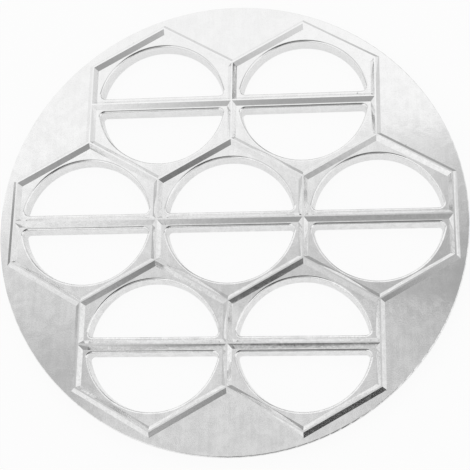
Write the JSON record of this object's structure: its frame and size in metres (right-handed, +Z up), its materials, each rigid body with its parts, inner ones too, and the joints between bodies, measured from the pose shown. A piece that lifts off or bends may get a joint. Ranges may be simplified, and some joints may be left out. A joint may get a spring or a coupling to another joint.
{
  "type": "pelmeni mold",
  "caption": "Round cast plate with a honeycomb of knife ridges and half-moon openings, for cutting and sealing filled dumplings from two sheets of dough.",
  "frame": {"origin": "middle of the face that the collars stand on, under the middle of the centre cell", "axes": "+Z up, from the resting face to the crests of the ridges; X along the bars that cross the cells; Y from the front row of cells to the back row"},
  "size_m": [0.25, 0.25, 0.01],
  "materials": {
    "cast_aluminium": "satin"
  },
  "bodies": {
    "root": {"mold": "cast_aluminium"}
  },
  "joints": []
}
